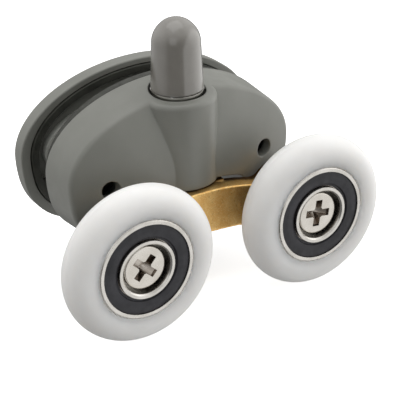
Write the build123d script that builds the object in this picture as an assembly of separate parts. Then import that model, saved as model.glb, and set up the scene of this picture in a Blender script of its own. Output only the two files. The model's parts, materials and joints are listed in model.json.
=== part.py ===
from build123d import *
from math import asin, cos, degrees, pi, radians, sin, sqrt
import os

# Twin-wheel roller for a sliding glass shower door, released by a push button.
# Units are millimetres. +X runs along the door's travel, +Y points through the
# glass towards the rear cover, +Z is up. The origin is the middle of the front
# gasket's clamp face, on the line that joins the two clamp screws.

# ---- glass clamp ----
glass_gap = 4.4
clamp_screw_x = 14.0
front_gasket_thickness = 1.9
front_gasket_inset = 0.9
front_gasket_top_inset = 0.1
rear_gasket_proud = 0.4
rear_gasket_inset = 0.85
gasket_rim_width = 1.25
gasket_pad_half_width = 17.4
gasket_pad_rise = 7.85
gasket_channel_low_z = -3.5
sleeve_radius = 2.8
sleeve_overlap = 0.6
sleeve_hole_clearance = 0.15

# ---- housing outline, seen along Y ----
outline_mid_z = 0.7
outline_half_width = 20.6
outline_top_rise = 12.45
side_arc_radius = 20.0
side_arc_sweep = 12.0
shoulder_arc_radius = 9.5
shoulder_arc_end = 65.0
toe_radius = 3.2
arch_radius = 30.0
arch_crown_z = -1.65
arch_corner_radius = 3.2

# ---- housing depth ----
housing_rear_y = -front_gasket_thickness
housing_front_y = -15.0
draft_per_mm = 0.075
top_draft_per_mm = 0.031
face_front_y = -12.7
face_plan_radius = 56.0
face_side_radius = 22.5
ridge_fillet = 1.0
wall = 1.9
column_half_width = 7.3
plate_thickness = 2.1
plate_inset = 1.3
plate_gap = 0.05
plate_inner_x = 6.8
head_pocket_radius = 4.1
head_pocket_front_y = -7.0

# ---- push button, shaft and boss ----
shaft_y = -7.55
boss_radius = 6.2
boss_bottom_z = -2.34
boss_top_fillet = 0.9
button_bore_radius = 4.525
bore_floor_z = -0.6
bush_radius = 3.5
bush_flange_radius = 4.4
bush_flange = 0.5
button_base_z = 12.55
button_base_radius = 4.15
button_shoulder_z = 19.9
button_shoulder_radius = 3.83
button_top_z = 23.9
button_rim_fillet = 0.25
socket_top_z = 20.0
shaft_radius = 2.5
collar_radius = 4.18
collar_bottom_z = 11.9
journal_radius = 2.0
journal_play = 0.1
running_gap = 0.05
travel = 8.0

# ---- return spring ----
spring_wire = 0.7
spring_mean_radius = 3.2
spring_turns = 4.5
spring_end_gap = 0.05

# ---- roller arm ----
axle_x = 15.7
axle_z = -7.0
arm_front_y = -15.0
arm_thickness = 3.6
arm_top_z = -2.5
arm_top_radius = 38.0
arm_bottom_z = -9.9
arm_eye_radius = 5.0
arm_corner_fillet = 2.0
arm_lug_radius = 5.4
arm_lug_height = 5.0
arm_edge_fillet = 0.35
arm_washer_radius = 3.55
arm_washer_thickness = 0.8
arm_washer_hole_radius = 1.35
arm_neck_overlap = 1.0
arm_tapping_radius = 1.25
arm_screw_radius = 1.23
arm_tapping_depth = 5.0
arm_screw_reach = 4.5
arm_screw_head_radius = 2.5
arm_screw_head_height = 1.8
arm_screw_head_fillet = 0.6
arm_recess_reach = 1.5
arm_recess_slot = 0.8
arm_recess_depth = 1.1

# ---- wheels and 8 x 16 x 5 ball bearings ----
wheel_radius = 12.5
wheel_mid_y = -21.5
tyre_section_radius = 2.9
bearing_front_y = -24.2
bearing_width = 5.0
bearing_bore_radius = 4.0
bearing_outer_radius = 8.0
inner_land_radius = 4.68
inner_shoulder_radius = 5.25
outer_land_radius = 7.275
outer_shoulder_radius = 6.75
ring_chamfer = 0.22
seal_lip_radius = 4.8
seal_step_radius = 5.18
seal_step_depth = 0.35
seal_thickness = 0.55
seal_recess = 0.12
seal_bevel = 0.12
seal_back_gap = 0.15
ball_radius = 1.0
ball_count = 9
ball_pitch_radius = 6.0
groove_radius = 1.04
cage_inner_radius = 5.55
cage_outer_radius = 6.45
cage_half_width = 1.35
cage_pocket_gap = 0.06
spacer_hub_radius = 4.6
spacer_flange_radius = 5.2
spacer_step = 0.5

# ---- M4 fasteners ----
m4_radius = 1.98
m4_hole_radius = 2.0
m4_clear_radius = 2.15
wheel_head_radius = 3.475
wheel_head_height = 2.6
wheel_head_sink = 0.8
wheel_head_fillet = 0.3
wheel_recess_reach = 2.2
wheel_recess_slot = 1.2
wheel_recess_depth = 2.0
wheel_recess_turn = {-1: 42.0, 1: 8.0}
clamp_head_radius = 3.8
clamp_head_height = 2.2
clamp_head_fillet = 1.5
clamp_socket_depth = 1.3
tool_hole_radius = 1.5
hex_key_width = 2.5
thread_end_gap = 0.3

# ---- rear cover ----
cover_outset = 0.85
cover_top_drop = 0.6
cover_face_y = glass_gap + rear_gasket_proud
cover_crown_y = 9.8
cover_plan_radius = 111.0
cover_side_radius = 43.0
cover_recess_depth = 0.9
cover_recess_inset = 0.7
cover_back_fillet = 0.8
cover_rim_fillet = 0.25
insert_radius = 3.0
insert_length = 2.5

# ---- cutters ----
cut_past = 1.0
cutter_span = 60.0

left_right = (("left", -1), ("right", 1))
on_its_base = (Align.CENTER, Align.CENTER, Align.MIN)


def facing_front(y):
    """Plane across Y, seen from the front: its x is X and its y is Z."""
    return Plane(origin=(0, y, 0), x_dir=(1, 0, 0), z_dir=(0, -1, 0))


def rod(radius, y_front, y_back, x=0.0, z=0.0):
    """Round bar along Y."""
    return facing_front(y_back) * Pos(x, z) * extrude(Circle(radius), y_back - y_front)


def post(radius, z_low, z_high):
    """Round bar along Z on the shaft's axis."""
    return Pos(0, shaft_y, z_low) * extrude(Circle(radius), z_high - z_low)


def turned_about_y(points, x, z):
    """Ring turned about the Y direction from (radius, y) corners."""
    profile = make_face(Polyline(*points, close=True))
    return Pos(x, 0, z) * revolve(profile, Axis.Y)


def turned_about_shaft(points):
    """Solid turned about the shaft's axis from (radius, z) corners."""
    profile = Plane.XZ * make_face(Polyline(*points, close=True))
    return Pos(0, shaft_y, 0) * revolve(profile, Axis.Z)


def side_of(x_inner, y_front, y_back, hand):
    """Block that keeps what lies beyond x_inner on one side."""
    middle = hand * (x_inner + cutter_span / 2)
    block = Box(cutter_span, y_back - y_front, cutter_span)
    return Pos(middle, (y_front + y_back) / 2, 0) * block


# ---- outline shared by the housing, gaskets, screw plates and cover ----

def outline_face(inset, top_drop, y, arched=True):
    """Bell-shaped outline, moved inwards by inset; its underside is arched or straight."""
    half_width = outline_half_width - inset
    rise = outline_top_rise - inset - top_drop
    side_centre = (outline_half_width - side_arc_radius, outline_mid_z)
    sweep = radians(side_arc_sweep)
    step = side_arc_radius - shoulder_arc_radius
    shoulder_centre = (side_centre[0] + step * cos(sweep), side_centre[1] - step * sin(sweep))
    end = radians(shoulder_arc_end)
    step = shoulder_arc_radius - toe_radius
    toe_centre = (shoulder_centre[0] + step * cos(end), shoulder_centre[1] - step * sin(end))
    toe_sweep = -180 if arched else -90
    crown = EllipticalCenterArc((0, outline_mid_z), half_width, rise, start_angle=0, arc_size=180)
    right_side = [
        CenterArc(side_centre, side_arc_radius - inset, 0, -side_arc_sweep),
        CenterArc(
            shoulder_centre,
            shoulder_arc_radius - inset,
            -side_arc_sweep,
            side_arc_sweep - shoulder_arc_end,
        ),
        CenterArc(toe_centre, toe_radius - inset, -shoulder_arc_end, shoulder_arc_end + toe_sweep),
    ]
    if arched:
        arch, corner = arch_edges(inset, toe_centre)
        right_side += corner
    else:
        sole_z = toe_centre[1] - toe_radius + inset
        arch = Line((-toe_centre[0], sole_z), (toe_centre[0], sole_z))
    edges = [crown, arch] + right_side
    edges += [edge.mirror(Plane.YZ) for edge in right_side]
    return facing_front(y) * make_face(edges)


def arch_edges(inset, toe_centre):
    """Arch of the underside, and the leg and rounded corner that join it to the right toe."""
    leg_x = toe_centre[0] - toe_radius
    centre_z = arch_crown_z - arch_radius
    corner_x = leg_x - arch_corner_radius
    corner_z = centre_z + sqrt((arch_radius - arch_corner_radius) ** 2 - corner_x**2)
    corner_angle = 90 - degrees(asin(corner_x / (arch_radius - arch_corner_radius)))
    arch = CenterArc((0, centre_z), arch_radius + inset, corner_angle, 180 - 2 * corner_angle)
    leg = Line((leg_x + inset, toe_centre[1]), (leg_x + inset, corner_z))
    corner = CenterArc((corner_x, corner_z), arch_corner_radius + inset, 0, corner_angle)
    return arch, [leg, corner]


def outline_slab(inset, y_front, y_back, top_drop=0.0):
    """Outline carried straight along Y."""
    return extrude(outline_face(inset, top_drop, y_back), y_back - y_front)


def outline_drafted(inset, arched=True):
    """Outline that narrows towards the front, as the moulded body does."""
    depth = housing_rear_y - housing_front_y
    narrowing = draft_per_mm * depth
    lowering = top_draft_per_mm * depth
    rear = outline_face(inset, 0.0, housing_rear_y, arched)
    front = outline_face(inset + narrowing, lowering, housing_front_y, arched)
    return loft([rear, front], ruled=True)


def crown_drafted():
    """Body of full elliptical section whose top is the housing's own top."""
    depth = housing_rear_y - housing_front_y
    narrowing = draft_per_mm * depth
    lowering = narrowing + top_draft_per_mm * depth
    rear = facing_front(housing_rear_y) * Pos(0, outline_mid_z)
    front = facing_front(housing_front_y) * Pos(0, outline_mid_z)
    wide = rear * Ellipse(outline_half_width, outline_top_rise)
    narrow = front * Ellipse(outline_half_width - narrowing, outline_top_rise - lowering)
    return loft([wide, narrow], ruled=True)


def bulged_block(front_y, plan_radius, side_radius):
    """Ring-shaped block whose outer skin bulges forward to front_y."""
    ring = Torus(plan_radius - side_radius, side_radius)
    return Pos(0, front_y + plan_radius, 0) * ring


def clamp_holes(radius, y_front, y_back):
    """Two round cutters on the clamp screws' axes."""
    return [rod(radius, y_front, y_back, hand * clamp_screw_x) for _, hand in left_right]


# ---- housing ----

def housing_shell():
    """Moulded grey body: bulged face, round boss, two pockets open to the rear."""
    block = outline_drafted(0.0, arched=False)
    shell = block & bulged_block(face_front_y, face_plan_radius, face_side_radius)
    face_edges = shell.faces().filter_by(GeomType.TORUS).edges()
    shell = fillet(face_edges, ridge_fillet) & outline_slab(0.0, housing_front_y, housing_rear_y)

    boss = crown_drafted() & post(boss_radius, boss_bottom_z, button_base_z + travel)
    top_edge = boss.faces().filter_by(GeomType.CYLINDER).edges().group_by(Axis.Z)[-1]
    boss = fillet(top_edge, boss_top_fillet)
    shell = shell + boss

    shell -= post(button_bore_radius, bore_floor_z, button_top_z)
    shell -= post(bush_radius, boss_bottom_z - cut_past, bore_floor_z + cut_past)

    hollow = outline_drafted(wall)
    hollow &= bulged_block(face_front_y + wall, face_plan_radius - wall, face_side_radius - wall)
    for _, hand in left_right:
        shell -= hollow & side_of(column_half_width, housing_front_y, housing_rear_y, hand)
        shell -= screw_plate_blank(plate_inset, hand)
    for cutter in clamp_holes(head_pocket_radius, head_pocket_front_y, housing_rear_y):
        shell -= cutter
    for cutter in clamp_holes(tool_hole_radius, housing_front_y, housing_rear_y):
        shell -= cutter
    return shell


def screw_plate_blank(inset, hand):
    """Half outline that lies in the rebate round one pocket's rear mouth."""
    slab = outline_slab(inset, housing_rear_y - plate_thickness, housing_rear_y)
    inner_x = plate_inner_x + inset - plate_inset
    return slab & side_of(inner_x, housing_front_y, housing_rear_y, hand)


def screw_plate(hand):
    """Plate that the clamp screw's head pulls against."""
    plate = screw_plate_blank(plate_inset + plate_gap, hand)
    hole = rod(m4_clear_radius, housing_front_y, glass_gap, hand * clamp_screw_x)
    return plate - hole


def guide_bush():
    """Flanged bush pressed into the boss floor; the shaft slides in it."""
    flange_top = bore_floor_z + bush_flange
    bore = shaft_radius + running_gap
    return turned_about_shaft(
        [
            (bore, boss_bottom_z),
            (bush_radius, boss_bottom_z),
            (bush_radius, bore_floor_z),
            (bush_flange_radius, bore_floor_z),
            (bush_flange_radius, flange_top),
            (bore, flange_top),
        ]
    )


# ---- button, shaft and spring ----

def push_button():
    """Domed plastic cap, slightly tapered, with a blind socket for the shaft."""
    base = (button_base_radius, button_base_z)
    shoulder = (button_shoulder_radius, button_shoulder_z)
    dome_height = button_top_z - button_shoulder_z
    profile = make_face(
        [
            Line((shaft_radius, button_base_z), base),
            Line(base, shoulder),
            Spline(
                shoulder,
                (0.72 * button_shoulder_radius, button_shoulder_z + 0.69 * dome_height),
                (0, button_top_z),
                tangents=[(0, 1), (-1, 0)],
            ),
            Polyline(
                (0, button_top_z),
                (0, socket_top_z),
                (shaft_radius, socket_top_z),
                (shaft_radius, button_base_z),
            ),
        ]
    )
    rim = profile.vertices().group_by(Axis.Y)[0].sort_by(Axis.X)[-1]
    profile = fillet(rim, button_rim_fillet)
    return Pos(0, shaft_y, 0) * revolve(Plane.XZ * profile, Axis.Z)


def plunger_shaft():
    """Plated shaft: socket spigot, collar, sliding length, arm journal, tapped end."""
    lug_bottom = arm_top_z - arm_lug_height
    shoulder_z = arm_top_z + running_gap
    journal_end = lug_bottom - journal_play
    shaft = turned_about_shaft(
        [
            (0, journal_end),
            (journal_radius, journal_end),
            (journal_radius, shoulder_z),
            (shaft_radius, shoulder_z),
            (shaft_radius, collar_bottom_z),
            (collar_radius, collar_bottom_z),
            (collar_radius, button_base_z),
            (shaft_radius, button_base_z),
            (shaft_radius, socket_top_z),
            (0, socket_top_z),
        ]
    )
    return shaft - post(arm_tapping_radius, journal_end, journal_end + arm_tapping_depth)


def arm_washer():
    """Washer under the lug that carries the arm on the journal."""
    top = arm_top_z - arm_lug_height - journal_play
    ring = post(arm_washer_radius, top - arm_washer_thickness, top)
    return ring - post(arm_washer_hole_radius, top - arm_washer_thickness, top)


def arm_screw():
    """M2.5 pan-head screw with a cross recess, up into the journal."""
    top = arm_top_z - arm_lug_height - journal_play - arm_washer_thickness
    low = top - arm_screw_head_height
    head = post(arm_screw_head_radius, low, top)
    head = fillet(head.edges().group_by(Axis.Z)[0], arm_screw_head_fillet)
    screw = head + post(arm_screw_radius, top, top + arm_washer_thickness + arm_screw_reach)
    recess = cross_recess(arm_recess_reach, arm_recess_slot, arm_recess_depth)
    return screw - Pos(0, shaft_y, low) * recess


def cross_recess(reach, slot, depth):
    """Tapered cross-shaped cutter; its mouth is at z = 0 and it deepens upwards."""
    cross = Rectangle(2 * reach, slot) + Rectangle(slot, 2 * reach)
    wings = extrude(cross, depth) & Cone(1.3 * reach, 0.35 * reach, depth, align=on_its_base)
    return wings + Cone(0.85 * slot, 0.45 * slot, depth, align=on_its_base)


def return_spring():
    """Helical spring between the bush flange and the shaft's collar."""
    low = bore_floor_z + bush_flange + spring_wire / 2 + spring_end_gap
    high = collar_bottom_z - spring_wire / 2 - spring_end_gap
    pitch = (high - low) / spring_turns
    path = Helix(pitch, high - low, spring_mean_radius)
    section = Plane(origin=path @ 0, z_dir=path % 0) * Circle(spring_wire / 2)
    coil = sweep(section, path=path, is_frenet=True)
    return Pos(0, shaft_y, low) * coil


# ---- roller arm ----

def arm_profile():
    """Bar whose arched underside runs smoothly into a round eye at each axle."""
    eye = Vector(axle_x, axle_z)
    rise = axle_z - arm_bottom_z
    arch = (axle_x**2 + rise**2 - arm_eye_radius**2) / (2 * (arm_eye_radius - rise))
    arch_centre = Vector(0, arm_bottom_z - arch)
    touch = eye + (arch_centre - eye).normalized() * arm_eye_radius
    crown_centre = Vector(0, arm_top_z - arm_top_radius)
    span = (eye - crown_centre).length
    along = (arm_top_radius**2 - arm_eye_radius**2 + span**2) / (2 * span)
    towards = (eye - crown_centre).normalized()
    corner = crown_centre + towards * along
    corner += Vector(-towards.Y, towards.X) * sqrt(arm_top_radius**2 - along**2)
    eye_arc = ThreePointArc(touch, eye + Vector(arm_eye_radius, 0), corner)
    bar = make_face(
        [
            ThreePointArc((-touch.X, touch.Y), (0, arm_bottom_z), touch),
            eye_arc,
            ThreePointArc(corner, (0, arm_top_z), (-corner.X, corner.Y)),
            eye_arc.mirror(Plane.YZ),
        ]
    )
    return fillet(bar.vertices().group_by(Axis.Y)[-1], arm_corner_fillet)


def roller_arm():
    """Cast brass arm: arched bar, two threaded eyes, lug on the shaft's axis."""
    rear_y = arm_front_y + arm_thickness
    bar = facing_front(rear_y) * extrude(arm_profile(), arm_thickness)
    lug_bottom = arm_top_z - arm_lug_height
    neck_depth = shaft_y - rear_y
    neck_middle = rear_y + neck_depth / 2
    neck = Pos(0, neck_middle, arm_top_z - arm_lug_height / 2)
    neck *= Box(2 * arm_lug_radius, neck_depth + 2 * arm_neck_overlap, arm_lug_height)
    lug = neck + post(arm_lug_radius, lug_bottom, arm_top_z)
    arm = bar + lug
    front_edges = arm.faces().sort_by(Axis.Y)[0].outer_wire().edges()
    arm = fillet(front_edges, arm_edge_fillet)
    arm -= post(journal_radius + running_gap, lug_bottom - cut_past, arm_top_z + cut_past)
    for _, hand in left_right:
        x = hand * axle_x
        arm -= rod(m4_hole_radius, arm_front_y - cut_past, rear_y + cut_past, x, axle_z)
    return arm


# ---- wheels ----

def wheel(hand):
    """Plastic tyre of round section with softly dished faces."""
    section_centre = wheel_radius - tyre_section_radius
    width = 2 * (wheel_mid_y - bearing_front_y)
    front_lip = (bearing_outer_radius, bearing_front_y)
    rear_lip = (bearing_outer_radius, bearing_front_y + width)
    dish = Spline(
        front_lip,
        (section_centre, wheel_mid_y - tyre_section_radius),
        tangents=[(1, -0.1), (1, 0)],
    )
    tread = CenterArc((section_centre, wheel_mid_y), tyre_section_radius, -90, 180)
    rear_dish = dish.mirror(Plane.XZ.offset(-wheel_mid_y))
    profile = make_face([dish, tread, rear_dish, Line(rear_lip, front_lip)])
    return Pos(hand * axle_x, 0, axle_z) * revolve(profile, Axis.Y)


def ball_positions(hand):
    """Ball centres, evenly spaced round the bearing's pitch circle."""
    middle_y = bearing_front_y + bearing_width / 2
    for index in range(ball_count):
        angle = 2 * pi * (index + 0.5) / ball_count
        x = hand * axle_x + ball_pitch_radius * cos(angle)
        z = axle_z + ball_pitch_radius * sin(angle)
        yield Pos(x, middle_y, z)


def ball_groove(hand):
    """Ring-shaped cutter for the track that the balls roll in."""
    middle_y = bearing_front_y + bearing_width / 2
    track = Torus(ball_pitch_radius, groove_radius)
    return Pos(hand * axle_x, middle_y, axle_z) * Rot(90, 0, 0) * track


def bearing_outer_ring(hand):
    """Outer race with a ball track and a seal seat at each face."""
    front = bearing_front_y
    back = front + bearing_width
    seat = seal_recess + seal_thickness
    corner = ring_chamfer
    ring = turned_about_y(
        [
            (bearing_outer_radius, front + corner),
            (bearing_outer_radius, back - corner),
            (bearing_outer_radius - corner, back),
            (outer_land_radius, back),
            (outer_land_radius, back - seat),
            (outer_shoulder_radius, back - seat),
            (outer_shoulder_radius, front + seat),
            (outer_land_radius, front + seat),
            (outer_land_radius, front),
            (bearing_outer_radius - corner, front),
        ],
        hand * axle_x,
        axle_z,
    )
    return ring - ball_groove(hand)


def bearing_inner_ring(hand):
    """Inner race with a ball track, pressed on the wheel spacer."""
    front = bearing_front_y
    back = front + bearing_width
    seat = seal_recess + seal_thickness + seal_back_gap
    corner = ring_chamfer
    ring = turned_about_y(
        [
            (bearing_bore_radius, front + corner),
            (bearing_bore_radius + corner, front),
            (inner_land_radius, front),
            (inner_land_radius, front + seat),
            (inner_shoulder_radius, front + seat),
            (inner_shoulder_radius, back - seat),
            (inner_land_radius, back - seat),
            (inner_land_radius, back),
            (bearing_bore_radius + corner, back),
            (bearing_bore_radius, back - corner),
        ],
        hand * axle_x,
        axle_z,
    )
    return ring - ball_groove(hand)


def bearing_seal(hand, face_y, inwards):
    """Rubber seal fixed in the outer ring; its stepped lip clears the inner ring."""
    back = face_y + inwards * seal_thickness
    step = face_y + inwards * seal_step_depth
    bevel = face_y + inwards * seal_bevel
    return turned_about_y(
        [
            (seal_lip_radius, step),
            (seal_step_radius, step),
            (seal_step_radius, bevel),
            (seal_step_radius + seal_bevel, face_y),
            (outer_land_radius - seal_bevel, face_y),
            (outer_land_radius, bevel),
            (outer_land_radius, back),
            (seal_lip_radius, back),
        ],
        hand * axle_x,
        axle_z,
    )


def bearing_balls(hand):
    """All the balls of one bearing, as separate solids."""
    return Compound([place * Sphere(ball_radius) for place in ball_positions(hand)])


def bearing_cage(hand):
    """Ring that keeps the balls evenly apart, one round pocket for each."""
    front = bearing_front_y + bearing_width / 2 - cage_half_width
    back = front + 2 * cage_half_width
    x = hand * axle_x
    cage = rod(cage_outer_radius, front, back, x, axle_z)
    cage -= rod(cage_inner_radius, front, back, x, axle_z)
    pocket = Cylinder(ball_radius + cage_pocket_gap, 2 * cage_half_width)
    for index, place in enumerate(ball_positions(hand)):
        outward = 360 * (index + 0.5) / ball_count
        cage -= place * Rot(0, 90 - outward, 0) * pocket
    return cage


def wheel_spacer(hand):
    """Stepped sleeve: pressed in the bearing's bore, its flange meets the arm."""
    bearing_back = bearing_front_y + bearing_width
    head_seat = bearing_front_y + wheel_head_sink + wheel_head_height
    step_y = bearing_back + spacer_step
    return turned_about_y(
        [
            (m4_clear_radius, head_seat),
            (bearing_bore_radius, head_seat),
            (bearing_bore_radius, bearing_back),
            (spacer_hub_radius, bearing_back),
            (spacer_hub_radius, step_y),
            (spacer_flange_radius, step_y + spacer_step),
            (spacer_flange_radius, arm_front_y),
            (m4_clear_radius, arm_front_y),
        ],
        hand * axle_x,
        axle_z,
    )


def wheel_screw(hand):
    """M4 flat-headed screw with a cross recess, threaded into the arm."""
    head_front = bearing_front_y + wheel_head_sink
    head_seat = head_front + wheel_head_height
    x = hand * axle_x
    head = rod(wheel_head_radius, head_front, head_seat, x, axle_z)
    head = fillet(head.edges().filter_by(GeomType.CIRCLE).sort_by(Axis.Y)[0], wheel_head_fillet)
    shank_end = arm_front_y + arm_thickness - thread_end_gap
    shank = rod(m4_radius, head_seat, shank_end, x, axle_z)
    recess = cross_recess(wheel_recess_reach, wheel_recess_slot, wheel_recess_depth)
    recess = Rot(-90, 0, 0) * Rot(0, 0, wheel_recess_turn[hand]) * recess
    return head + shank - Pos(x, head_front, axle_z) * recess


# ---- clamp ----

def front_gasket():
    """Rubber pad between the housing and the glass, flush with the housing's top."""
    lift = front_gasket_top_inset - front_gasket_inset
    pad = outline_slab(front_gasket_inset, housing_rear_y, 0.0, lift)
    for cutter in clamp_holes(sleeve_radius + sleeve_hole_clearance, housing_rear_y, 0.0):
        pad -= cutter
    return pad


def gasket_channel(back):
    """Gap between the rear gasket's rim and its middle pad, above their joining legs."""
    pad = Pos(0, outline_mid_z) * Ellipse(gasket_pad_half_width, gasket_pad_rise)
    pad = facing_front(back) * extrude(pad, back - glass_gap)
    channel = outline_slab(rear_gasket_inset + gasket_rim_width, glass_gap, back) - pad
    above = Box(cutter_span, cutter_span, cutter_span, align=on_its_base)
    return channel & Pos(0, glass_gap, gasket_channel_low_z) * above


def rear_gasket():
    """Rubber rim and pad let into the rear cover, standing proud of its face."""
    back = cover_face_y + cover_recess_depth
    gasket = outline_slab(rear_gasket_inset, glass_gap, back) - gasket_channel(back)
    for cutter in clamp_holes(sleeve_radius + sleeve_hole_clearance, glass_gap, back):
        gasket -= cutter
    return gasket


def rear_cover():
    """Grey cover with a gently domed back and a recess for its gasket."""
    cover = outline_slab(-cover_outset, cover_face_y, cover_crown_y + cut_past, cover_top_drop)
    crown = Pos(0, cover_crown_y - cover_plan_radius, 0)
    crown *= Torus(cover_plan_radius - cover_side_radius, cover_side_radius)
    cover &= crown
    cover = fillet(cover.faces().filter_by(GeomType.TORUS).edges(), cover_back_fillet)
    cover = fillet(cover.faces().sort_by(Axis.Y)[0].outer_wire().edges(), cover_rim_fillet)
    recess_back = cover_face_y + cover_recess_depth
    cover -= outline_slab(cover_recess_inset, cover_face_y, recess_back)
    for cutter in clamp_holes(insert_radius, recess_back, recess_back + insert_length):
        cover -= cutter
    return cover


def cover_insert(hand):
    """Knurled brass insert with an M4 thread, moulded into the cover."""
    front = cover_face_y + cover_recess_depth
    x = hand * clamp_screw_x
    insert = rod(insert_radius, front, front + insert_length, x)
    return insert - rod(m4_hole_radius, front, front + insert_length, x)


def glass_sleeve(hand):
    """Plastic sleeve that keeps the clamp screw off the edge of the glass hole."""
    x = hand * clamp_screw_x
    back = glass_gap + sleeve_overlap
    sleeve = rod(sleeve_radius, housing_rear_y, back, x)
    return sleeve - rod(m4_clear_radius, housing_rear_y, back, x)


def clamp_screw(hand):
    """M4 button-head screw with a hex socket, captive behind its tool hole."""
    seat_y = housing_rear_y - plate_thickness
    x = hand * clamp_screw_x
    head = rod(clamp_head_radius, seat_y - clamp_head_height, seat_y, x)
    head = fillet(head.edges().filter_by(GeomType.CIRCLE).sort_by(Axis.Y)[0], clamp_head_fillet)
    end = cover_face_y + cover_recess_depth + insert_length - thread_end_gap
    shank = rod(m4_radius, seat_y, end, x)
    socket = facing_front(seat_y - clamp_head_height + clamp_socket_depth) * Pos(x, 0)
    socket *= extrude(RegularPolygon(hex_key_width / 2, 6, major_radius=False), clamp_head_height)
    return head + shank - socket


parts = {
    "housing_shell": housing_shell(),
    "guide_bush": guide_bush(),
    "push_button": push_button(),
    "plunger_shaft": plunger_shaft(),
    "return_spring": return_spring(),
    "arm_washer": arm_washer(),
    "arm_screw": arm_screw(),
    "roller_arm": roller_arm(),
    "front_gasket": front_gasket(),
    "rear_gasket": rear_gasket(),
    "rear_cover": rear_cover(),
}
for name, hand in left_right:
    front_seal_y = bearing_front_y + seal_recess
    rear_seal_y = bearing_front_y + bearing_width - seal_recess
    parts[f"wheel_{name}"] = wheel(hand)
    parts[f"bearing_outer_ring_{name}"] = bearing_outer_ring(hand)
    parts[f"bearing_inner_ring_{name}"] = bearing_inner_ring(hand)
    parts[f"bearing_balls_{name}"] = bearing_balls(hand)
    parts[f"bearing_cage_{name}"] = bearing_cage(hand)
    parts[f"bearing_seal_front_{name}"] = bearing_seal(hand, front_seal_y, 1)
    parts[f"bearing_seal_rear_{name}"] = bearing_seal(hand, rear_seal_y, -1)
    parts[f"wheel_spacer_{name}"] = wheel_spacer(hand)
    parts[f"wheel_screw_{name}"] = wheel_screw(hand)
    parts[f"screw_plate_{name}"] = screw_plate(hand)
    parts[f"cover_insert_{name}"] = cover_insert(hand)
    parts[f"glass_sleeve_{name}"] = glass_sleeve(hand)
    parts[f"clamp_screw_{name}"] = clamp_screw(hand)

os.makedirs("parts", exist_ok=True)
for node, shape in parts.items():
    export_step(shape, f"parts/{node}.step")
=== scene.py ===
import json
import math

import bmesh
import bpy
from mathutils import Matrix, Vector, noise


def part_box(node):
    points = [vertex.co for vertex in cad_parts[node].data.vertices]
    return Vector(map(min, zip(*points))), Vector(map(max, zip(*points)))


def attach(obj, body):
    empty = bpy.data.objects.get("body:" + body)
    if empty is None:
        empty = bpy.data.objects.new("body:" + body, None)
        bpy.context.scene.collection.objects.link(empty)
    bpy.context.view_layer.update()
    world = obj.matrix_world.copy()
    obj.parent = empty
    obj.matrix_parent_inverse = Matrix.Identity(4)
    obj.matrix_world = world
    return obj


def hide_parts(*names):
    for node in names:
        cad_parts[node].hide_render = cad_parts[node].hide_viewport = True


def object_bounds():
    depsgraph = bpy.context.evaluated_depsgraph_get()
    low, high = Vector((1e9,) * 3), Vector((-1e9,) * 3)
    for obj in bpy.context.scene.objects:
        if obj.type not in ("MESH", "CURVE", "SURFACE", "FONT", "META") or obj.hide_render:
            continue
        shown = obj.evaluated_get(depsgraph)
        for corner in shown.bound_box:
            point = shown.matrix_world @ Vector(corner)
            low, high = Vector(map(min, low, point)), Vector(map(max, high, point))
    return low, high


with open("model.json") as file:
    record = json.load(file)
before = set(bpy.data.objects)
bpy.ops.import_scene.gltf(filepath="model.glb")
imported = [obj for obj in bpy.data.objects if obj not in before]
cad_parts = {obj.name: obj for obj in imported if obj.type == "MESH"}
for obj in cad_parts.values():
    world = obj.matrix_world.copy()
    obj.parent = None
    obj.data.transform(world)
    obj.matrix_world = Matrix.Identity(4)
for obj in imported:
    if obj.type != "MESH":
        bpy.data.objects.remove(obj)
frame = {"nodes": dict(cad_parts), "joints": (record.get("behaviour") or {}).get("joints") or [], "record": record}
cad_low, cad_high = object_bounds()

MM = 0.001
SIDES = (("left", -1), ("right", 1))

# ---- sizes taken from the frame ----
joint_at = {joint["name"]: Vector(joint.get("pos_m", (0, 0, 0))) for joint in frame["joints"]}
axle_z = joint_at["left_wheel_spin"].z
axle_x = joint_at["right_wheel_spin"].x
shaft_centre = (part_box("push_button")[0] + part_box("push_button")[1]) / 2

# ---- colour zones ----
# the rear gasket's pale middle, painted light on the pad, is an ellipse
lit_pad_half_width = 18.0 * MM
lit_pad_rise = 9.0 * MM
lit_pad_middle_z = 0.7 * MM
lit_pad_edge = 0.01
# depth of the arm from its front face that keeps the full brass tone; the neck behind it is coloured darker
arm_front_depth = 2.1 * MM
arm_darkening_fade = 0.5 * MM

# ---- surface finish ----
body_roughness = 0.40
body_grain = 0.3 * MM
body_grain_height = 0.007 * MM
body_softening = 0.35 * MM
cover_softening = 0.1 * MM
plastic_haze = 0.05
# width of one radian of the turned rings, which are 2 pi times as far apart
turned_ring_radian = 0.32 * MM
turned_edge_softening = 0.07 * MM
# reaches of the painted shade that darkens recesses of the turned metal and of the brass arm
turned_shade_reach = 1.6 * MM
brass_shade_reach = 3.0 * MM
# the wave texture turns by this many radians per unit of length at scale 1
wave_radians = 20

# ---- bearing seals ----
seal_lip_radius = 4.80 * MM
seal_step_radius = 5.18 * MM
seal_step_depth = 0.35 * MM
seal_step_run = 0.05 * MM
seal_rim_inset = 0.02 * MM
seal_rim_drop = 0.07 * MM
seal_rounding = 0.14 * MM

# ---- gaskets ----
front_gasket_rounding = 0.3 * MM
rear_gasket_rounding = 0.4 * MM
gasket_sharp_angle = math.radians(60)
weld_distance = 0.002 * MM
flat_angle = math.radians(1)

# ---- cast arm ----
arm_voxel = 0.16 * MM
arm_smoothing = 0.5
# the casting's skin: depths in mm, and noise that repeats so many times per mm
arm_mean_depth = 0.03
arm_waves_per_mm = 0.6
arm_wave_depth = 0.02
arm_grains_per_mm = 2.6
arm_grain_depth = 0.02
arm_grain_offset = Vector((7, 3, 1))
arm_pits_per_mm = 1.7
arm_pit_depth = 0.12
arm_pit_threshold = 0.25
arm_pit_offset = Vector((2, 9, 4))

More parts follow.
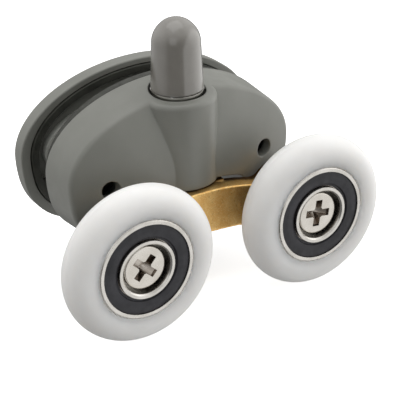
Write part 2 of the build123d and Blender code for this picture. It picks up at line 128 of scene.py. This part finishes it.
# ---- tyres ----
tyre_bore_chamfer = 0.12 * MM
tyre_dish_steps = 8
tyre_crown_steps = 24
mould_line_height = 0.035 * MM
# half widths of the mould line at its top and at its foot
mould_line_top = 0.05 * MM
mould_line_foot = 0.09 * MM

# ---- floor and camera ----
floor_half = 1.2
floor_drop = 0.02 * MM
floor_glow = 0.6
camera_azimuth = math.radians(-31.88)
camera_elevation = math.radians(26.76)
camera_roll = math.radians(-0.91)
camera_distance = 205.8 * MM
camera_lens = 126.5
camera_sensor = 36
aim_from_button = Vector((-6.53, -16.65, 8.92)) * MM


# ---- node materials ----

def srgb(r, g, b):
    """Linear colour of an 8-bit display colour."""
    def channel(value):
        value /= 255
        return value / 12.92 if value <= 0.04045 else ((value + 0.055) / 1.055) ** 2.4
    return (channel(r), channel(g), channel(b), 1.0)


class Paint:
    """One procedural material, built node by node round a Principled shader."""

    def __init__(self, name, metallic=0.0, roughness=0.5):
        self.material = bpy.data.materials.new(name)
        self.material.use_nodes = True
        self.tree = self.material.node_tree
        self.shader = self.tree.nodes["Principled BSDF"]
        self.set("Metallic", metallic)
        self.set("Roughness", roughness)
        self.place = self.tree.nodes.new("ShaderNodeTexCoord").outputs["Object"]

    def set(self, socket, value):
        """Sets a value that is the same all over the surface."""
        self.shader.inputs[socket].default_value = value

    def node(self, kind, **settings):
        made = self.tree.nodes.new(kind)
        for key, value in settings.items():
            setattr(made, key, value)
        return made

    def link(self, source, target):
        self.tree.links.new(source, target)

    def centred(self, centre):
        """Object coordinates counted from a centre."""
        shift = self.node("ShaderNodeVectorMath", operation="SUBTRACT")
        self.link(self.place, shift.inputs[0])
        shift.inputs[1].default_value = centre
        return shift.outputs[0]

    def stretched(self, scale):
        """Object coordinates scaled per axis, for grain that runs one way."""
        stretch = self.node("ShaderNodeVectorMath", operation="MULTIPLY")
        self.link(self.place, stretch.inputs[0])
        stretch.inputs[1].default_value = scale
        return stretch.outputs[0]

    def noise(self, size, detail=3.0, place=None, roughness=0.5):
        """Noise whose blotches are about size metres across."""
        made = self.node("ShaderNodeTexNoise")
        made.inputs["Scale"].default_value = 1 / size
        made.inputs["Detail"].default_value = detail
        made.inputs["Roughness"].default_value = roughness
        self.link(place or self.place, made.inputs["Vector"])
        return made.outputs["Fac"]

    def remap(self, value, low, high, start=0.35, end=0.65):
        """Value moved from the range start..end to low..high; noise mostly lies in 0.35..0.65."""
        made = self.node("ShaderNodeMapRange")
        made.inputs["From Min"].default_value = start
        made.inputs["From Max"].default_value = end
        made.inputs["To Min"].default_value = low
        made.inputs["To Max"].default_value = high
        self.link(value, made.inputs["Value"])
        return made.outputs["Result"]

    def blend(self, factor, first, second):
        """Colour that goes from first to second with the factor."""
        made = self.node("ShaderNodeMix", data_type="RGBA")
        self.link(factor, made.inputs["Factor"])
        for socket, colour in ((made.inputs["A"], first), (made.inputs["B"], second)):
            if isinstance(colour, tuple):
                socket.default_value = colour
            else:
                self.link(colour, socket)
        return made.outputs["Result"]

    def painted_recess_shade(self, reach, tone, dark, own=True):
        """Painted shade: colour that turns dark in recesses of about reach metres, where shade falls; own leaves
        other pieces out.
        """
        made = self.node("ShaderNodeAmbientOcclusion", samples=8, only_local=own)
        made.inputs["Distance"].default_value = reach
        return self.blend(self.remap(made.outputs["AO"], 1, 0, 0.25, 0.85), tone, dark)

    def softened(self, radius, samples):
        """Normal that is rounded over edges of about radius metres."""
        bevel = self.node("ShaderNodeBevel", samples=samples)
        bevel.inputs["Radius"].default_value = radius
        return bevel.outputs["Normal"]

    def colour(self, value):
        self.link(value, self.shader.inputs["Base Color"])

    def rough(self, value):
        self.link(value, self.shader.inputs["Roughness"])

    def bump(self, height, distance, strength=1.0, below=None):
        """Surface relief of about distance metres."""
        made = self.node("ShaderNodeBump")
        made.inputs["Distance"].default_value = distance
        made.inputs["Strength"].default_value = strength
        self.link(height, made.inputs["Height"])
        if below is not None:
            self.link(below, made.inputs["Normal"])
        self.link(made.outputs["Normal"], self.shader.inputs["Normal"])


def moulded_plastic(name, dark, light, roughness, grain, grain_height, soften=0.0):
    """Moulded plastic: faint blotches, a fine surface grain and softened inner corners."""
    paint = Paint(name)
    paint.colour(paint.blend(paint.remap(paint.noise(6 * MM), 0, 1), dark, light))
    cloud = paint.noise(2.5 * MM, detail=6)
    paint.rough(paint.remap(cloud, roughness - plastic_haze, roughness + plastic_haze))
    below = paint.softened(soften, 6) if soften else None
    paint.bump(paint.noise(grain, detail=2), grain_height, 0.6, below)
    return paint.material


def lit_pad_zone(paint):
    """Mask of the painted light: one inside the pad's ellipse and zero outside it."""
    squash = paint.node("ShaderNodeVectorMath", operation="MULTIPLY")
    squash.inputs[1].default_value = (1 / lit_pad_half_width, 0, 1 / lit_pad_rise)
    paint.link(paint.centred((0, 0, lit_pad_middle_z)), squash.inputs[0])
    reach = paint.node("ShaderNodeVectorMath", operation="LENGTH")
    paint.link(squash.outputs["Vector"], reach.inputs[0])
    return paint.remap(reach.outputs["Value"], 1, 0, 1 - lit_pad_edge, 1 + lit_pad_edge)


def rubber(name, dark, light, roughness, pale=None):
    """Matt rubber with bloom and a fine pitted skin; pale, when given, is painted light: a pale colour on a middle
    pad that stands in for the light catching it.
    """
    paint = Paint(name)
    paint.set("Specular IOR Level", 0.35)
    bloom = paint.remap(paint.noise(2.5 * MM, detail=8, roughness=0.65), 0, 1)
    tone = paint.blend(bloom, dark, light)
    # painted light: the middle pad is coloured pale as if lit
    if pale is not None:
        tone = paint.blend(lit_pad_zone(paint), tone, pale)
    paint.colour(tone)
    paint.rough(paint.remap(paint.noise(0.7 * MM), roughness - 0.08, roughness + 0.08))
    paint.bump(paint.noise(0.12 * MM, detail=4), 0.02 * MM, 0.7)
    return paint.material


def turned_metal(name, centre, dark, light, roughness):
    """Metal turned about Y: rings round the centre, a few faint stains and painted shade in recesses."""
    paint = Paint(name, metallic=1.0)
    rings = paint.node("ShaderNodeTexWave", wave_type="RINGS", rings_direction="Y")
    rings.inputs["Scale"].default_value = 1 / (turned_ring_radian * wave_radians)
    rings.inputs["Distortion"].default_value = 0.4
    rings.inputs["Detail"].default_value = 1.0
    paint.link(paint.centred(centre), rings.inputs["Vector"])
    stain = paint.remap(paint.noise(2.2 * MM, detail=5), 0, 1)
    tone = paint.blend(stain, dark, light)
    # painted shade: the colour turns brown-grey in the recesses of screws and rings
    paint.colour(paint.painted_recess_shade(turned_shade_reach, tone, srgb(128, 112, 98)))
    paint.rough(paint.remap(paint.noise(1.1 * MM, detail=4), roughness - 0.03, roughness + 0.05))
    paint.bump(rings.outputs["Fac"], 0.0010 * MM, 0.4, paint.softened(turned_edge_softening, 4))
    return paint.material


def plated_metal(name, dark, light, roughness, scratch_axis=(1, 1, 1)):
    """Smooth plated metal with hairline scratches and slight tarnish."""
    paint = Paint(name, metallic=1.0)
    stain = paint.remap(paint.noise(1.6 * MM, detail=7), 0, 1)
    paint.colour(paint.blend(stain, dark, light))
    hair = paint.noise(0.15 * MM, detail=5, place=paint.stretched(scratch_axis))
    paint.rough(paint.remap(hair, roughness - 0.03, roughness + 0.07))
    paint.bump(hair, 0.0015 * MM, 0.4)
    return paint.material


def cast_brass():
    """Sand-cast brass: fine bright grain, tarnish in the pits, worn edges, a darker neck behind the front part,
    and painted shade where other pieces lie close over it.
    """
    paint = Paint("cast_brass", metallic=1.0)
    patches = paint.noise(2.2 * MM, detail=5, roughness=0.6)
    tone = paint.blend(
        paint.remap(patches, 0, 1, 0.36, 0.64), srgb(232, 182, 106), srgb(244, 204, 132)
    )
    grain = paint.noise(0.22 * MM, detail=7, roughness=0.7)
    tone = paint.blend(paint.remap(grain, 0, 1, 0.50, 0.72), tone, srgb(255, 234, 176))
    pits = paint.remap(paint.noise(0.6 * MM, detail=6, roughness=0.75), 1, 0, 0.30, 0.42)
    tone = paint.blend(pits, tone, srgb(176, 126, 62))
    pointed = paint.node("ShaderNodeNewGeometry").outputs["Pointiness"]
    tone = paint.blend(paint.remap(pointed, 0, 1, 0.53, 0.58), tone, srgb(255, 236, 182))
    # the colour turns dark brown behind the front part of the arm
    depth = paint.node("ShaderNodeSeparateXYZ")
    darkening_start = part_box("roller_arm")[0][1] + arm_front_depth
    paint.link(paint.centred((0, darkening_start, 0)), depth.inputs[0])
    neck_darkening = paint.remap(depth.outputs["Y"], 0, 1, 0, arm_darkening_fade)
    tone = paint.blend(neck_darkening, tone, srgb(92, 68, 36))
    # painted shade: the brass turns dark brown where other pieces lie close over it
    paint.colour(paint.painted_recess_shade(brass_shade_reach, tone, srgb(104, 76, 40), own=False))
    paint.rough(paint.remap(grain, 0.52, 0.36, 0.35, 0.65))
    paint.bump(grain, 0.035 * MM, 0.6)
    return paint.material


def wheel_plastic():
    """White acetal: translucent, so its shading is soft, with faint scuffs."""
    paint = Paint("wheel_white", roughness=0.35)
    paint.set("Subsurface Weight", 0.9)
    paint.set("Subsurface Scale", 6 * MM)
    paint.set("Subsurface Radius", (1.0, 0.95, 0.9))
    cloud = paint.remap(paint.noise(7 * MM, detail=4), 0, 1)
    paint.colour(paint.blend(cloud, srgb(231, 230, 228), srgb(237, 236, 234)))
    scuff = paint.noise(0.6 * MM, detail=8, roughness=0.7)
    paint.rough(paint.remap(scuff, 0.36, 0.46))
    paint.bump(paint.noise(0.35 * MM, detail=3), 0.005 * MM, 0.6)
    return paint.material


def button_plastic():
    """Polished grey plastic under a clear gloss, with faint moulding flow."""
    paint = Paint("button_grey")
    paint.set("IOR", 1.75)
    paint.set("Coat Weight", 0.5)
    paint.set("Coat Roughness", 0.12)
    flow = paint.remap(paint.noise(3 * MM, detail=4), 0, 1)
    paint.colour(paint.blend(flow, srgb(116, 113, 107), srgb(121, 118, 112)))
    paint.rough(paint.remap(paint.noise(1.5 * MM, detail=6), 0.20, 0.26))
    paint.bump(paint.noise(1.2 * MM, detail=2), 0.002 * MM, 0.5)
    return paint.material


def body_plastic(name, soften):
    """Grey plastic of the body and the rear cover."""
    return moulded_plastic(
        name, srgb(120, 121, 115), srgb(125, 126, 120),
        body_roughness, body_grain, body_grain_height, soften
    )


def hub_centre(hand):
    """Middle of one wheel's axle."""
    return (hand * axle_x, 0.0, axle_z)


materials = {
    "housing_grey": body_plastic("housing_grey", body_softening),
    "cover_grey": body_plastic("cover_grey", cover_softening),
    "button_grey": button_plastic(),
    "gasket_rubber": rubber("gasket_rubber", srgb(44, 45, 40), srgb(60, 61, 55), 0.50),
    # the rear gasket's pale middle pad is painted light
    "rear_gasket_rubber": rubber(
        "rear_gasket_rubber", srgb(44, 45, 40), srgb(60, 61, 55), 0.50, srgb(168, 169, 163)
    ),
    "seal_rubber": rubber("seal_rubber", srgb(38, 38, 42), srgb(50, 50, 55), 0.48),
    "acetal_black": moulded_plastic(
        "acetal_black", srgb(30, 30, 31), srgb(38, 38, 39), 0.4, 0.3 * MM, 0.004 * MM
    ),
    "sleeve_plastic": moulded_plastic(
        "sleeve_plastic", srgb(206, 206, 200), srgb(216, 216, 210), 0.45, 0.4 * MM, 0.005 * MM
    ),
    "wheel_white": wheel_plastic(),
    "cast_brass": cast_brass(),
    "insert_brass": plated_metal("insert_brass", srgb(196, 158, 84), srgb(220, 184, 110), 0.3),
    "zinc_plate": plated_metal(
        "zinc_plate", srgb(160, 160, 158), srgb(182, 182, 180), 0.38, (1, 1, 0.1)
    ),
    "zinc_steel": plated_metal("zinc_steel", srgb(168, 168, 168), srgb(190, 190, 188), 0.32),
    "spring_steel": plated_metal("spring_steel", srgb(140, 140, 142), srgb(162, 162, 164), 0.3),
    "shaft_chrome": plated_metal("shaft_chrome", srgb(214, 212, 208), srgb(224, 223, 220), 0.1),
    "ball_steel": plated_metal("ball_steel", srgb(205, 205, 206), srgb(216, 216, 217), 0.08),
    "cage_steel": plated_metal("cage_steel", srgb(150, 148, 140), srgb(170, 167, 160), 0.35),
}

# what is turned has its rings round its own axle, so each side has a material of its own
turned_tones = {
    "bearing_steel": (srgb(196, 193, 187), srgb(214, 211, 206), 0.26),
    "nickel_screw": (srgb(200, 195, 187), srgb(214, 210, 203), 0.24),
    "spacer_steel": (srgb(176, 175, 172), srgb(196, 194, 190), 0.3),
}
for side, hand in SIDES:
    for slot_name, look in turned_tones.items():
        name = f"{slot_name}_{side}"
        materials[name] = turned_metal(name, hub_centre(hand), *look)


def paint_node(node, name):
    """Gives a CAD node one material in every slot."""
    slots = frame["nodes"][node].data.materials
    if len(slots) == 0:
        slots.append(materials[name])
    for index in range(len(slots)):
        slots[index] = materials[name]


for entry in frame["record"]["subparts"]:
    slot_name = entry["material_slot"]
    side = entry["node"].rsplit("_", 1)[-1]
    paint_node(entry["node"], slot_name if slot_name in materials else f"{slot_name}_{side}")

# the cover's edges are crisper than the body's
paint_node("rear_cover", "cover_grey")


# ---- pieces made here in place of CAD nodes ----

def finished(name, mesh, body, nodes, material, sharp=40):
    """Mesh turned into a smooth-shaded piece that rides on a body in place of CAD nodes."""
    mesh.materials.clear()
    mesh.materials.append(materials[material])
    mesh.shade_smooth()
    mesh.set_sharp_from_angle(angle=math.radians(sharp))
    piece = bpy.data.objects.new(name, mesh)
    bpy.context.scene.collection.objects.link(piece)
    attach(piece, body)
    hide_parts(*nodes)


def rounded(corners, reach, steps=4):
    """Closed profile whose corners become arcs that start reach away from them."""
    points = []
    count = len(corners)
    for index in range(count):
        here = Vector(corners[index])
        before = Vector(corners[index - 1]) - here
        after = Vector(corners[(index + 1) % count]) - here
        cut = min(reach, 0.45 * before.length, 0.45 * after.length)
        start = here + before.normalized() * cut
        end = here + after.normalized() * cut
        for step in range(steps + 1):
            t = step / steps
            points.append(start * (1 - t) ** 2 + here * 2 * t * (1 - t) + end * t**2)
    return points


def lathe(name, profile, centre, segments=160):
    """Ring turned about the Y direction from a closed profile of (radius, y) points."""
    vertices, faces = [], []
    count = len(profile)
    for turn in range(segments):
        angle = 2 * math.pi * turn / segments
        for radius, y in profile:
            x = centre[0] + radius * math.cos(angle)
            z = centre[2] + radius * math.sin(angle)
            vertices.append((x, y, z))
    for turn in range(segments):
        this, following = turn * count, (turn + 1) % segments * count
        for index in range(count):
            after = (index + 1) % count
            faces.append((this + index, this + after, following + after, following + index))
    mesh = bpy.data.meshes.new(name)
    mesh.from_pydata(vertices, [], faces)
    fix = bmesh.new()
    fix.from_mesh(mesh)
    bmesh.ops.recalc_face_normals(fix, faces=fix.faces)
    fix.to_mesh(mesh)
    fix.free()
    return mesh


def bearing_seals():
    """Stepped rubber seals with rounded edges and a slightly crowned face."""
    for side, hand in SIDES:
        for place in ("front", "rear"):
            node = f"bearing_seal_{place}_{side}"
            low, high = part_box(node)
            face, back = (low.y, high.y) if place == "front" else (high.y, low.y)
            inwards = 1 if place == "front" else -1
            outer = (high.x - low.x) / 2
            step_y = face + inwards * seal_step_depth
            corners = [
                (seal_lip_radius, step_y),
                (seal_step_radius, step_y),
                (seal_step_radius + seal_step_run, face + inwards * seal_step_run),
                ((seal_step_radius + outer) / 2, face),
                (outer - seal_rim_inset, face + inwards * seal_rim_drop),
                (outer, back),
                (seal_lip_radius, back),
            ]
            mesh = lathe(node + "_rubber", rounded(corners, seal_rounding), hub_centre(hand))
            finished(node + "_rubber", mesh, f"{side}_wheel", [node], "seal_rubber")


def soft_gasket(node, radius, material):
    """Gasket whose cut edges are rounded as moulded rubber is."""
    work = bmesh.new()
    work.from_mesh(frame["nodes"][node].data)
    bmesh.ops.remove_doubles(work, verts=work.verts, dist=weld_distance)
    bmesh.ops.dissolve_limit(work, angle_limit=flat_angle, verts=work.verts, edges=work.edges)
    edges = [
        edge for edge in work.edges
        if len(edge.link_faces) == 2 and edge.calc_face_angle() > gasket_sharp_angle
    ]
    bmesh.ops.bevel(
        work, geom=edges, offset=radius, segments=4, profile=0.5, affect="EDGES", clamp_overlap=True
    )
    mesh = bpy.data.meshes.new(node + "_rubber")
    work.to_mesh(mesh)
    work.free()
    finished(node + "_rubber", mesh, "housing", [node], material, sharp=50)


def voxel_copy(node, voxel):
    """Copy of a CAD node's mesh rebuilt from small even faces."""
    source = bpy.data.objects.new(node + "_source", frame["nodes"][node].data.copy())
    bpy.context.scene.collection.objects.link(source)
    remesh = source.modifiers.new("remesh", "REMESH")
    remesh.mode = "VOXEL"
    remesh.voxel_size = voxel
    dense = bpy.data.meshes.new_from_object(
        source.evaluated_get(bpy.context.evaluated_depsgraph_get())
    )
    bpy.data.objects.remove(source)
    return dense


def cast_depth(place):
    """How far below the CAD surface the casting's skin lies, in mm, at a place in mm."""
    waves = noise.noise(place * arm_waves_per_mm)
    grain = noise.noise(place * arm_grains_per_mm + arm_grain_offset)
    pits = max(0.0, noise.noise(place * arm_pits_per_mm + arm_pit_offset) - arm_pit_threshold)
    return arm_mean_depth + arm_wave_depth * waves + arm_grain_depth * grain + arm_pit_depth * pits


def cast_arm():
    """Arm with a sand-cast skin: every edge worn round, the surface pitted and wavy."""
    dense = voxel_copy("roller_arm", arm_voxel)
    work = bmesh.new()
    work.from_mesh(dense)
    bmesh.ops.smooth_vert(
        work, verts=work.verts, factor=arm_smoothing, use_axis_x=True, use_axis_y=True, use_axis_z=True
    )
    work.normal_update()
    for vertex in work.verts:
        vertex.co -= vertex.normal * cast_depth(vertex.co / MM) * MM
    work.to_mesh(dense)
    work.free()
    dense.name = "cast_arm"
    finished("cast_arm", dense, "arm", ["roller_arm"], "cast_brass", sharp=75)


def tyre_half(bore, front, outer, middle, section):
    """Front half of a tyre's section: bore chamfer, dished face, round crown, mould line."""
    centre = outer - section
    start = bore + tyre_bore_chamfer
    half = [(bore, front + tyre_bore_chamfer)]
    for step in range(tyre_dish_steps + 1):
        t = step / tyre_dish_steps
        rise = t * t * (3 - 2 * t)
        half.append((start + (centre - start) * t, front + (middle - section - front) * rise))
    for step in range(1, tyre_crown_steps):
        angle = math.pi / 2 * step / tyre_crown_steps
        half.append((centre + section * math.sin(angle), middle - section * math.cos(angle)))
    half.append((outer - mould_line_height, middle - mould_line_foot))
    half.append((outer, middle - mould_line_top))
    return half


def tyres():
    """Wheel tyres, each turned from its half section and that half's mirror image."""
    for side, hand in SIDES:
        node = f"wheel_{side}"
        low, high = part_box(node)
        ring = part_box(f"bearing_outer_ring_{side}")
        middle = (low.y + high.y) / 2
        half = tyre_half(
            bore=(ring[1].x - ring[0].x) / 2,
            front=ring[0].y,
            outer=(high.x - low.x) / 2,
            middle=middle,
            section=(high.y - low.y) / 2,
        )
        profile = half + [(radius, 2 * middle - y) for radius, y in reversed(half)]
        mesh = lathe(node + "_tyre", profile, hub_centre(hand), segments=240)
        finished(node + "_tyre", mesh, f"{side}_wheel", [node], "wheel_white", sharp=35)


bearing_seals()
soft_gasket("front_gasket", front_gasket_rounding, "gasket_rubber")
soft_gasket("rear_gasket", rear_gasket_rounding, "rear_gasket_rubber")
cast_arm()
tyres()


# ---- floor, light and camera ----

def pale_floor():
    """Wide pale floor just under the wheels, which glows so that it stays white."""
    mesh = bpy.data.meshes.new("floor")
    half = floor_half
    corners = [(-half, -half, 0), (half, -half, 0), (half, half, 0), (-half, half, 0)]
    mesh.from_pydata(corners, [], [(0, 1, 2, 3)])
    floor = bpy.data.objects.new("floor", mesh)
    floor.location.z = cad_low.z - floor_drop
    bpy.context.scene.collection.objects.link(floor)
    paint = Paint("floor_paint", roughness=0.8)
    cloud = paint.remap(paint.noise(60 * MM), 0, 1)
    paint.colour(paint.blend(cloud, (0.93, 0.93, 0.93, 1), (0.95, 0.95, 0.95, 1)))
    paint.set("Emission Color", (1, 1, 1, 1))
    paint.set("Emission Strength", floor_glow)
    mesh.materials.append(paint.material)
    floor.visible_diffuse = False
    floor.visible_glossy = False


def soft_light(name, place, size, power):
    """Square softbox of a size in metres that faces the middle of the object."""
    lamp = bpy.data.lights.new(name, "AREA")
    lamp.shape = "RECTANGLE"
    lamp.size, lamp.size_y = size, size
    lamp.energy = power
    holder = bpy.data.objects.new(name, lamp)
    holder.location = place
    holder.rotation_euler = (-Vector(place)).to_track_quat("-Z", "Y").to_euler()
    bpy.context.scene.collection.objects.link(holder)


class Surround:
    """World light that is plain white, stronger from some directions than from others."""

    def __init__(self, base):
        world = bpy.data.worlds.new("studio")
        world.use_nodes = True
        self.tree = world.node_tree
        self.way = self.tree.nodes.new("ShaderNodeTexCoord").outputs["Generated"]
        self.total = self.add_constant(base)
        bpy.context.scene.world = world

    def add_constant(self, value):
        made = self.tree.nodes.new("ShaderNodeMath")
        made.operation = "ADD"
        made.inputs[0].default_value = value
        made.inputs[1].default_value = 0.0
        return made.outputs[0]

    def lobe(self, direction, start, end, strength):
        """Adds light about a direction; start and end are cosines of the angle to it."""
        dot = self.tree.nodes.new("ShaderNodeVectorMath")
        dot.operation = "DOT_PRODUCT"
        dot.inputs[1].default_value = Vector(direction).normalized()
        self.tree.links.new(self.way, dot.inputs[0])
        ramp = self.tree.nodes.new("ShaderNodeMapRange")
        ramp.interpolation_type = "SMOOTHSTEP"
        ramp.inputs["From Min"].default_value = start
        ramp.inputs["From Max"].default_value = end
        ramp.inputs["To Max"].default_value = strength
        self.tree.links.new(dot.outputs["Value"], ramp.inputs["Value"])
        add = self.tree.nodes.new("ShaderNodeMath")
        add.operation = "ADD"
        self.tree.links.new(self.total, add.inputs[0])
        self.tree.links.new(ramp.outputs["Result"], add.inputs[1])
        self.total = add.outputs[0]

    def use(self):
        background = self.tree.nodes["Background"]
        background.inputs["Color"].default_value = (1, 0.995, 0.985, 1)
        self.tree.links.new(self.total, background.inputs["Strength"])


def studio():
    """White surroundings: brightest above, with panels at front right, right and back left."""
    surround = Surround(0.17)
    surround.lobe((0, 0.25, 1), start=-0.2, end=1.0, strength=0.85)
    surround.lobe((0.80, -0.50, -0.35), start=0.53, end=0.62, strength=0.85)
    surround.lobe((0.95, -0.10, 0.30), start=0.5, end=0.95, strength=0.55)
    surround.lobe((-0.75, 0.60, -0.20), start=0.4, end=0.9, strength=0.5)
    surround.use()
    soft_light("top_light", place=(0.0, 0.05, 0.45), size=0.45, power=0.5)
    soft_light("left_light", place=(-0.35, -0.35, 0.20), size=0.30, power=0.15)


def photo_camera():
    """Camera that looks down on the wheel side from the left."""
    aim = Vector((shaft_centre.x, shaft_centre.y, axle_z)) + aim_from_button
    flat = math.cos(camera_elevation)
    forward = Vector((
        -math.sin(camera_azimuth) * flat,
        math.cos(camera_azimuth) * flat,
        -math.sin(camera_elevation),
    ))
    across = Vector((math.cos(camera_azimuth), math.sin(camera_azimuth), 0))
    up = across.cross(forward)
    turn = Matrix.Rotation(-camera_roll, 3, forward)
    across, up = turn @ across, turn @ up
    data = bpy.data.cameras.new("camera")
    data.lens = camera_lens
    data.sensor_width = camera_sensor
    data.clip_start, data.clip_end = 0.01, 10
    camera = bpy.data.objects.new("camera", data)
    axes = Matrix((across, up, -forward)).transposed()
    camera.matrix_world = Matrix.Translation(aim - forward * camera_distance) @ axes.to_4x4()
    bpy.context.scene.collection.objects.link(camera)
    bpy.context.scene.camera = camera


pale_floor()
studio()
photo_camera()
bpy.context.scene.view_settings.view_transform = "Standard"
